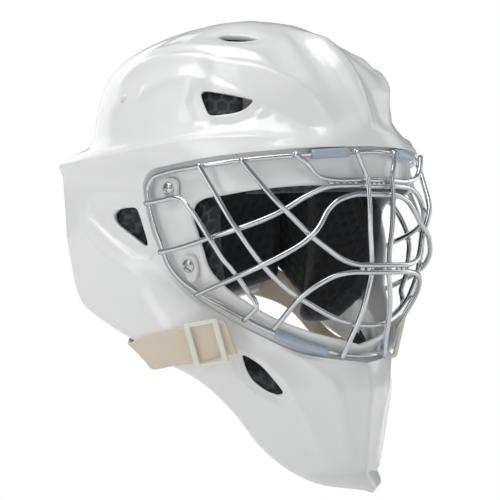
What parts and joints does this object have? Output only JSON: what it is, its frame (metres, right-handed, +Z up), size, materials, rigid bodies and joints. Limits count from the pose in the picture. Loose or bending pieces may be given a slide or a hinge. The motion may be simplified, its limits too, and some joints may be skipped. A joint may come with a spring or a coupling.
{
  "type": "goalie mask",
  "caption": "Ice hockey goalie mask: a glossy white moulded shell with vents, a crossed wire cage over the face opening, a padded liner, a swinging rear plate and elastic straps.",
  "frame": {"origin": "middle of the crown pad's flat underside, where the top of the head bears", "axes": "+Z up, -Y is the way the wearer looks, -X is the wearer's right"},
  "size_m": [0.218, 0.2532, 0.3183],
  "materials": {
    "white_gloss_shell": "gloss",
    "polished_steel_wire": "polished",
    "blue_grey_sleeve": "gloss",
    "white_plastic_clip": "satin",
    "plated_screw": "polished",
    "black_foam": "matte",
    "beige_elastic": "matte",
    "black_webbing": "matte",
    "cream_plastic": "satin",
    "white_rivet": "satin"
  },
  "bodies": {
    "shell_body": {"shell": "white_gloss_shell", "cage_rim": "polished_steel_wire", "cage_brow_bar": "polished_steel_wire", "cage_lower_eye_bar": "polished_steel_wire", "cage_cheek_bar": "polished_steel_wire", "cage_upper_eye_bar": "polished_steel_wire", "cage_temple_bar": "polished_steel_wire", "cage_nose_bar": "polished_steel_wire", "cage_side_bar_right": "polished_steel_wire", "cage_side_bar_left": "polished_steel_wire", "cage_center_bar_right": "polished_steel_wire", "cage_center_bar_left": "polished_steel_wire", "rim_sleeve_upper_right": "blue_grey_sleeve", "rim_sleeve_upper_left": "blue_grey_sleeve", "rim_sleeve_lower_right": "blue_grey_sleeve", "rim_sleeve_lower_left": "blue_grey_sleeve", "cage_clip_upper_right": "white_plastic_clip", "cage_clip_upper_left": "white_plastic_clip", "cage_clip_lower_right": "white_plastic_clip", "cage_clip_lower_left": "white_plastic_clip", "clip_screw_upper_right": "plated_screw", "clip_screw_upper_left": "plated_screw", "clip_screw_lower_right": "plated_screw", "clip_screw_lower_left": "plated_screw", "clip_nut_upper_right": "plated_screw", "clip_nut_upper_left": "plated_screw", "clip_nut_lower_right": "plated_screw", "clip_nut_lower_left": "plated_screw", "forehead_pad": "black_foam", "sweatband": "black_foam", "temple_pad_right": "black_foam", "temple_pad_left": "black_foam", "upper_side_pad_right": "black_foam", "upper_side_pad_left": "black_foam", "jaw_pad_right": "black_foam", "jaw_pad_left": "black_foam", "crown_pad": "black_foam", "chin_cup": "black_foam", "lower_strap_right": "beige_elastic", "lower_strap_left": "beige_elastic", "upper_strap_right": "black_webbing", "upper_strap_left": "black_webbing", "crown_strap": "black_webbing", "chin_strap_right": "black_webbing", "chin_strap_left": "black_webbing", "side_rivet_right": "white_rivet", "side_rivet_left": "white_rivet", "crown_rivet_right": "white_rivet", "crown_rivet_left": "white_rivet"},
    "backplate_body": {"backplate": "white_gloss_shell", "back_pad": "black_foam", "lower_snap_right": "plated_screw", "lower_snap_left": "plated_screw", "upper_snap_right": "plated_screw", "upper_snap_left": "plated_screw"},
    "buckle_right_body": {"buckle_right": "cream_plastic"},
    "buckle_left_body": {"buckle_left": "cream_plastic"}
  },
  "joints": [
    {"name": "backplate_swing", "type": "hinge", "parent": "shell_body", "child": "backplate_body", "pos_m": [0, 0.09, -0.03], "axis": [1, 0, 0], "range_deg": [0, 20], "stiffness_Nm_per_rad": 0.8, "springref_deg": -5.73, "deforming": ["lower_strap_right", "lower_strap_left", "upper_strap_right", "upper_strap_left", "crown_strap"]},
    {"name": "buckle_right_slide", "type": "slide", "parent": "shell_body", "child": "buckle_right_body", "axis": [-0.4392, 0.8801, -0.1803], "range_m": [-0.006, 0.014]},
    {"name": "buckle_left_slide", "type": "slide", "parent": "shell_body", "child": "buckle_left_body", "axis": [0.4392, 0.8801, -0.1803], "range_m": [-0.006, 0.014]}
  ]
}
